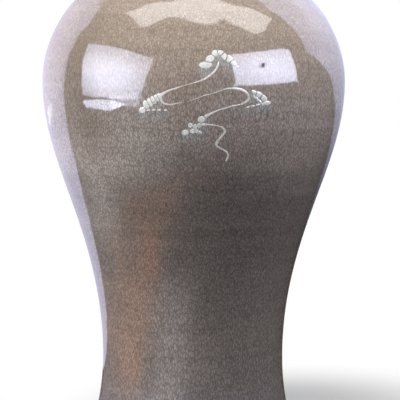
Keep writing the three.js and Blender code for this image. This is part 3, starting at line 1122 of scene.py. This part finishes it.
@dataclass
class ThrownBody:
    """The six thrown sections, stacked from the foot to the lip, and the slip that lutes them together."""

    form: VaseForm
    sides: int = 420
    fine: float = 1.3  # distance between rings outside
    lip_fine: float = 0.65
    seam_fine: float = 0.325
    coarse: float = 6  # and inside
    foot_ring_width: float = 13
    streaks: tuple[Streak, ...] = (
        Streak(Paint.FLUSH, 9, 175, -48, 17, 0.55, 22),
        Streak(Paint.FLUSH, -2, 232, -2, 20, 0.5, 188),
        Streak(Paint.FLUSH, 118, 185, 96, 16, 0.45),
        Streak(Paint.FLUSH, -140, 130, -158, 20, 0.5),
        # painted light: paler streaks where light falls and a reflection shows on the front; the one at 150
        # degrees is a paler streak at the back
        Streak(Paint.LIT_AND_PALE, -5, 115, -14, 16, 0.42),
        Streak(Paint.LIT_AND_PALE, -14, 232, -24, 24, 0.45, 158),
        Streak(Paint.LIT_AND_PALE, -40, 195, -46, 17, 0.6, 118),
        Streak(Paint.LIT_AND_PALE, 150, 150, 138, 15, 0.35),
        # painted shade: a darker streak on the upper left of the front
        Streak(Paint.PAINTED_SHADE, -42, 285, -42, 27, 0.52, 168),
    )
    streak_waves: Waves = Waves(0.45, 16, 30, 5.1)  # how their width and strength vary
    sharp_side: float = 0.6  # a streak keeps one sharp edge
    soft_side: float = 1.4
    onset: Pair = (-0.08, 0.25)  # shares of its drop between which a streak begins
    thinning: float = 30  # the height over which it thins out
    specks: tuple[Place, ...] = (  # across the front, above the belly, and how dark
        (39.7, 8.7, 1), (38, 8.1, 0.4), (17.8, 2, 0.5), (-23.6, 27.6, 0.5), (-61, -62, 0.6), (24, -88, 0.5),
    )
    speck_size: float = 2
    speck_core: float = 0.3  # share of a speck that is darkest

    def __post_init__(self) -> None:
        """Finds what bounds the wall inside at each joint, and the radius of the joint's upstand."""
        bore = self.form.foot_radius - self.foot_ring_width
        foot_bore = np.array([[bore, 0], [bore, self.form.floor_underside]])
        self.insides = {joint: self.form.cavity for joint in self.form.joints} | {"foot": foot_bore}
        self.laps = {joint: self.form.lap_radius(joint, line) for joint, line in self.insides.items()}

    def build(self, scroll: CloudScroll, glaze: Material, bare: Material) -> None:
        """Builds the sections and dresses them.

        Args:
            scroll: the inlay, whose halo tints the belly wall.
            glaze: the crackle glaze.
            bare: the bare clay of the foot.
        """
        for node, (outer, rest) in self._profiles().items():
            piece = turned_piece(node + "_fired", self.form, outer, rest, self.sides)
            place = points_of(piece)
            self._paint_streaks(piece, place)
            paint(piece, Paint.SPECK, self._specks(place))
            if node == "belly_wall":
                paint(piece, Paint.HALO, scroll.halo(place))
            is_foot = node == "foot_ring"
            finish_mesh(piece, node, bare if is_foot else glaze)

    def build_seams(self, slip: Material) -> None:
        """Builds the five rings of luting slip and dresses them.

        Args:
            slip: the glazed slip.
        """
        for joint in self.form.joints:
            outer, rest = self._seam(joint)
            piece = turned_piece(joint + "_slip_ring", self.form, outer, rest, self.sides)
            self._paint_streaks(piece, points_of(piece))
            finish_mesh(piece, joint + "_slip", slip)

    def _upstand(self, joint: str) -> list[Pair]:
        """The top of the section below a joint."""
        low = self.form.joints[joint]
        return [(self.laps[joint], low), (self.laps[joint], low + self.form.lap)]

    def _rebate(self, joint: str) -> list[Pair]:
        """The underside of the section above a joint."""
        radius, low = self.laps[joint] + self.form.slip, self.form.joints[joint] + self.form.slip
        return [(radius, low + self.form.lap), (radius, low)]

    def _inner(self, line: np.ndarray, low: float, high: float) -> np.ndarray:
        """A stretch of the line that bounds the wall inside, from its top down."""
        return stretch(line, low, high, self.coarse)[::-1]

    def _profiles(self) -> dict[str, tuple[np.ndarray, np.ndarray]]:
        """Draws the profile of each section.

        Returns:
            The outer stretch and the rest, by CAD node.
        """
        form, joints = self.form, self.form.joints
        floor_top = form.cavity[0, 1]
        lip_seat = joints["lip"] + form.slip
        profiles = {
            "foot_ring": (
                stretch(form.outside, 0, joints["foot"], self.fine),
                np.vstack((
                    self._upstand("foot"),
                    self._inner(self.insides["foot"], 0, joints["foot"] + form.lap),
                )),
            ),
            "lower_body": (
                stretch(form.outside, joints["foot"] + form.slip, joints["waist"], self.fine),
                np.vstack((
                    self._upstand("waist"),
                    self._inner(form.cavity, floor_top, joints["waist"] + form.lap),
                    [(0, floor_top), (0, form.floor_underside)],
                    self._rebate("foot"),
                )),
            ),
            "mouth_lip": (
                stretch(form.outside, lip_seat, form.lip_top, self.lip_fine),
                np.vstack((
                    stretch(form.cavity, lip_seat + form.lap, form.lip_top, self.fine)[-2::-1],
                    self._rebate("lip"),
                )),
            ),
        }
        for node, low, high in (
            ("belly_wall", "waist", "shoulder"),
            ("shoulder_cap", "shoulder", "neck"),
            ("neck_collar", "neck", "lip"),
        ):
            seat = joints[low] + form.slip
            profiles[node] = (
                stretch(form.outside, seat, joints[high], self.fine),
                np.vstack((
                    self._upstand(high),
                    self._inner(form.cavity, seat + form.lap, joints[high] + form.lap),
                    self._rebate(low),
                )),
            )
        return profiles

    def _seam(self, joint: str) -> tuple[np.ndarray, np.ndarray]:
        """The profile of the luting slip in a joint.

        Args:
            joint: the joint's name.

        Returns:
            The outer stretch and the rest.
        """
        form, low = self.form, self.form.joints[joint]
        outer = stretch(form.outside, low, low + form.slip, self.seam_fine)
        inner = self._inner(self.insides[joint], low + form.lap, low + form.lap + form.slip)
        return outer, np.vstack((self._rebate(joint)[::-1], inner, self._upstand(joint)[::-1]))

    def _specks(self, place: np.ndarray) -> np.ndarray:
        """Where grains of iron in the clay have burnt through the front's glaze.

        Args:
            place: points on the wall in millimetres.

        Returns:
            A value from 0 to 1 for each point.
        """
        found = np.zeros(len(place))
        flat = place[:, [0, 2]] - (0, self.form.belly_height)
        for across, above, strength in self.specks:
            away = np.hypot(*(flat - (across, above)).T) / self.speck_size
            found = np.maximum(found, strength * (1 - smooth(self.speck_core, 1, away)))
        return found * (place[:, 1] < 0)

    def _paint_streaks(self, piece: Object, place: np.ndarray) -> None:
        """Paints how strongly each kind of streak shows: iron flush, painted light and painted shade.

        Args:
            piece: a section or a seam.
            place: its points in millimetres.
        """
        angle = np.degrees(np.arctan2(place[:, 0], -place[:, 1]))
        radius = np.hypot(place[:, 0], place[:, 1])
        uneven = 1 + self.streak_waves.at(place)
        total = {layer: np.zeros(len(place)) for layer in (Paint.FLUSH, Paint.LIT_AND_PALE, Paint.PAINTED_SHADE)}
        for streak in self.streaks:
            drop = np.clip((streak.top_height - place[:, 2]) / streak.top_height, -1, 1)
            slide = np.sqrt(np.clip(drop, 0, 1))  # a streak runs aslant at first and steeper further down
            middle = streak.top_angle + (streak.foot_angle - streak.top_angle) * slide
            turn = (angle - middle + 180) % 360 - 180
            reach = streak.half_width * np.where(turn > 0, self.sharp_side, self.soft_side)
            away = np.radians(turn) * radius / (reach * uneven)
            shown = streak.strength * np.exp(-(away**2)) * smooth(*self.onset, drop)
            shown *= smooth(streak.thins_out, streak.thins_out + self.thinning, place[:, 2])
            total[streak.layer] = np.maximum(total[streak.layer], shown)
        for layer, values in total.items():
            paint(piece, layer, np.clip(values * uneven, 0, 1))


class PanelRole(Enum):
    """What a studio panel does: it lights matt surfaces, or it is what the glaze mirrors."""

    GLOW = "glow"
    MIRRORED = "mirrored"


@dataclass(frozen=True)
class Fade:
    """How a panel grows brighter along a slanted line through the room's origin, across and up."""

    across: float
    up: float
    dark_at: float
    full_at: float


@dataclass(frozen=True)
class Panel:
    """A soft studio panel, with its strength in each role as a radiance."""

    name: str
    centre: Place
    aim: Place
    width: float
    height: float
    glow: float
    mirrored: float
    glow_tint: str = WHITE
    mirrored_tint: str = WHITE
    roll: float = 0  # degrees about its own axis
    oval: bool = False
    edge: float = 1  # how bright its mirrored edge is against its brightest place
    peak: Pair = (0.5, 0.5)  # where that place is, as shares of its two sides
    dimming: Pair = (0.2, 0.6)  # distances from there between which it dims, as such shares
    fade: Fade | None = None  # or how its mirrored side fades
    setback: float = 10  # its glow lies behind, as a ray that meets two lamps at once sees only one

    def light(self, role: PanelRole) -> None:
        """Adds the panel's light in one role.

        Args:
            role: what the light does.
        """
        strength = getattr(self, role.value)
        if strength == 0:
            return
        lamp = bpy.data.lights.new(self.name + "_" + role.value, "AREA")
        lamp.shape = "ELLIPSE" if self.oval else "RECTANGLE"
        lamp.size = self.width * MM
        lamp.size_y = self.height * MM
        area = lamp.size * lamp.size_y * (math.pi / 4 if self.oval else 1)
        lamp.energy = PANEL_POWER * strength * area
        lamp.color = linear_colour(getattr(self, role.value + "_tint"))[:3]
        if role is PanelRole.MIRRORED:
            self._shade(lamp)
        holder = bpy.data.objects.new(lamp.name, lamp)
        towards = Vector(self.aim) - Vector(self.centre)
        behind = self.setback if role is PanelRole.GLOW else 0
        holder.location = (Vector(self.centre) - behind * towards.normalized()) * MM
        turned = towards.to_track_quat("-Z", "Y") @ Quaternion((0, 0, 1), math.radians(self.roll))
        holder.rotation_euler = turned.to_euler()
        holder.visible_camera = False
        holder.visible_diffuse = role is PanelRole.GLOW
        holder.visible_glossy = role is PanelRole.MIRRORED
        bpy.context.scene.collection.objects.link(holder)

    def _shade(self, lamp: AreaLight) -> None:
        """Makes a mirrored lamp fade, or dim towards its edge.

        Args:
            lamp: the lamp.
        """
        lamp.use_nodes = True
        tree = lamp.node_tree
        add = partial(add_node, tree)
        surface = add("NewGeometry").outputs
        if self.fade:
            way = (self.fade.across, 0, self.fade.up)
            along = add("VectorMath", {0: surface["Position"], 1: way}, operation="DOT_PRODUCT")
            span = {"From Min": self.fade.dark_at * MM, "From Max": self.fade.full_at * MM}
        else:
            along = add("VectorMath", {0: surface["Parametric"], 1: (*self.peak, 0)}, operation="DISTANCE")
            near, far = self.dimming
            span = {"From Min": near, "From Max": far, "To Min": 1, "To Max": self.edge}
        level = add("MapRange", {"Value": along.outputs["Value"], **span})
        fill_inputs(tree, tree.nodes["Emission"], {"Strength": level.outputs[0]})


@dataclass
class Studio:
    """A plain pale table, soft panels round it and the camera."""

    eye: Place = (4.3, -825, 210.1)
    tilt: float = 4.18  # degrees that the camera looks down
    roll: float = 0.24
    lens: float = 117
    sensor: float = 36
    floor_half: float = 2500
    floor_colour: str = "#acacac"  # what the camera sees near the shadow's middle: a grey that paints shadow round the vase's real one
    floor_unseen: str = "#2e2c2a"  # what the vase sees
    shadow_middle: Place = (72, 60, 0)  # middle of a painted shadow: the table is grey here and turns white with the distance
    white_from: float = 42
    white_by: float = 178
    room: str = "#8b8a90"
    room_strength: float = 0.25
    panels: tuple[Panel, ...] = (
        Panel(
            "left_softbox", (-921, -541, 357), (-41, -70, -54), 1126, 680, 0, 12.4,
            mirrored_tint="#e2e6ff", roll=-5.5, edge=0.42, peak=(0.5, 0.45),
        ),
        Panel(
            "left_sill", (-655, -269, 86), (-14, 57, 119), 470, 46, 0, 9.6,
            mirrored_tint="#e2e6ff", roll=-3.9, oval=True,
        ),
        Panel(
            "sill_join", (-548, -479, 92), (93, -153, 125), 292, 75, 0, 4.5,
            mirrored_tint="#e2e6ff", roll=-3.9,
        ),
        Panel("left_low", (-900, -300, 90), (0, 0, 150), 800, 180, 17.5, 0),
        Panel("left_rear", (-510, 600, 500), (0, 0, 150), 700, 900, 4, 0),
        Panel(
            "left_backdrop", (-240, 205, 450), (-240, -300, 450), 1060, 1000, 0, 2.1,
            mirrored_tint="#dcdcff", oval=True, fade=Fade(-1, -0.02, -70, 450),
        ),
        Panel("left_glint", (-250, 195, 182), (-250, -300, 182), 100, 16, 0, 0.8),
        Panel(
            "right_softbox", (853, -598, 468), (67, 143, 473), 1010, 505, 2.6, 13.2, "#eef2ff", "#e1e5ff",
            roll=3.5, edge=0.68, peak=(0.5, 0.4),
        ),
        Panel("right_high", (900, -100, 1000), (0, 0, 200), 600, 600, 1.4, 0),
        Panel(
            "right_backdrop", (941, 300, 1196), (941, -300, 1196), 2400, 1400, 0, 2.5,
            mirrored_tint="#d5daff", roll=-25, fade=Fade(0.37, 0.93, 132, 692),
        ),
        Panel("top_panel", (153, -435, 1250), (153, -435, 0), 1820, 510, 7.1, 5.2, roll=-2, edge=0.8),
    )

    def build(self) -> None:
        """Sets up the table, the panels, the room and the camera."""
        self._floor()
        for panel in self.panels:
            for role in PanelRole:
                panel.light(role)
        self._room()
        self._camera()
        bpy.context.scene.view_settings.view_transform = "Standard"

    def _floor(self) -> None:
        """Lays the table top, which is white to the camera far off, grey round a painted shadow, and keeps
        the vase's shadow.
        """
        half = self.floor_half * MM
        mesh = bpy.data.meshes.new("table_top")
        corners = [(-half, -half, 0), (half, -half, 0), (half, half, 0), (-half, half, 0)]
        mesh.from_pydata(corners, [], [(0, 1, 2, 3)])
        made = bpy.data.materials.new("matt_white_table")
        made.use_nodes = True
        made.node_tree.nodes.clear()
        add = partial(add_node, made.node_tree)
        seen = add("LightPath").outputs["Is Camera Ray"]
        tones = {MIX_A: linear_colour(self.floor_unseen), MIX_B: linear_colour(self.floor_colour)}
        colour = add("Mix", {0: seen, **tones}, data_type="RGBA").outputs[MIX_RESULT]
        matt = add("BsdfDiffuse", {"Color": colour}).outputs[0]
        white = add("Emission", {"Color": linear_colour(WHITE), "Strength": 1}).outputs[0]
        # painted shadow: the grey matt shows round the shadow's middle, and white emission takes over farther
        # off
        place = add("NewGeometry").outputs["Position"]
        away = add("VectorMath", {0: place, 1: Vector(self.shadow_middle) * MM}, operation="DISTANCE")
        span = {"From Min": self.white_from * MM, "From Max": self.white_by * MM}
        far = add("MapRange", {"Value": away.outputs["Value"], **span}, interpolation_type="SMOOTHSTEP")
        share = add("Math", {0: far.outputs[0], 1: seen}, operation="MULTIPLY").outputs[0]
        mixed = add("MixShader", {0: share, 1: matt, 2: white}).outputs[0]
        add("OutputMaterial", {"Surface": mixed})
        mesh.materials.append(made)
        floor = bpy.data.objects.new("table_top", mesh)
        bpy.context.scene.collection.objects.link(floor)

    def _room(self) -> None:
        """Makes the surroundings white to the camera and dim to everything else."""
        world = bpy.data.worlds.new("studio_room")
        bpy.context.scene.world = world
        world.use_nodes = True
        world.node_tree.nodes.clear()
        add = partial(add_node, world.node_tree)
        tone = linear_colour(self.room)
        dim = add("Background", {"Color": tone, "Strength": self.room_strength}).outputs[0]
        white = add("Background", {"Color": linear_colour(WHITE), "Strength": 1}).outputs[0]
        seen = add("LightPath").outputs["Is Camera Ray"]
        mixed = add("MixShader", {0: seen, 1: dim, 2: white}).outputs[0]
        add("OutputWorld", {"Surface": mixed})

    def _camera(self) -> None:
        """Places the camera at the photograph's viewpoint."""
        camera = bpy.data.cameras.new("camera")
        camera.lens = self.lens
        camera.sensor_width = self.sensor
        holder = bpy.data.objects.new("camera", camera)
        holder.location = Vector(self.eye) * MM
        level = Euler((math.radians(90 - self.tilt), 0, 0)).to_quaternion()
        rolled = level @ Quaternion((0, 0, 1), math.radians(self.roll))
        holder.rotation_euler = rolled.to_euler()
        bpy.context.scene.collection.objects.link(holder)
        bpy.context.scene.camera = holder


def main() -> None:
    """Builds the vase and the studio."""
    logging.basicConfig(level=logging.INFO, format="%(name)s: %(message)s")
    form = VaseForm()
    glaze = CrackleGlaze("crackle_glaze").material()
    seam = CrackleGlaze("glazed_luting_slip", shade=0.93).material()
    scroll = CloudScroll(form)
    body = ThrownBody(form)
    body.build(scroll, glaze, BareStoneware().material())
    body.build_seams(seam)
    scroll.build(WhiteSlip().material())
    Studio().build()


if __name__ == "__main__":
    main()
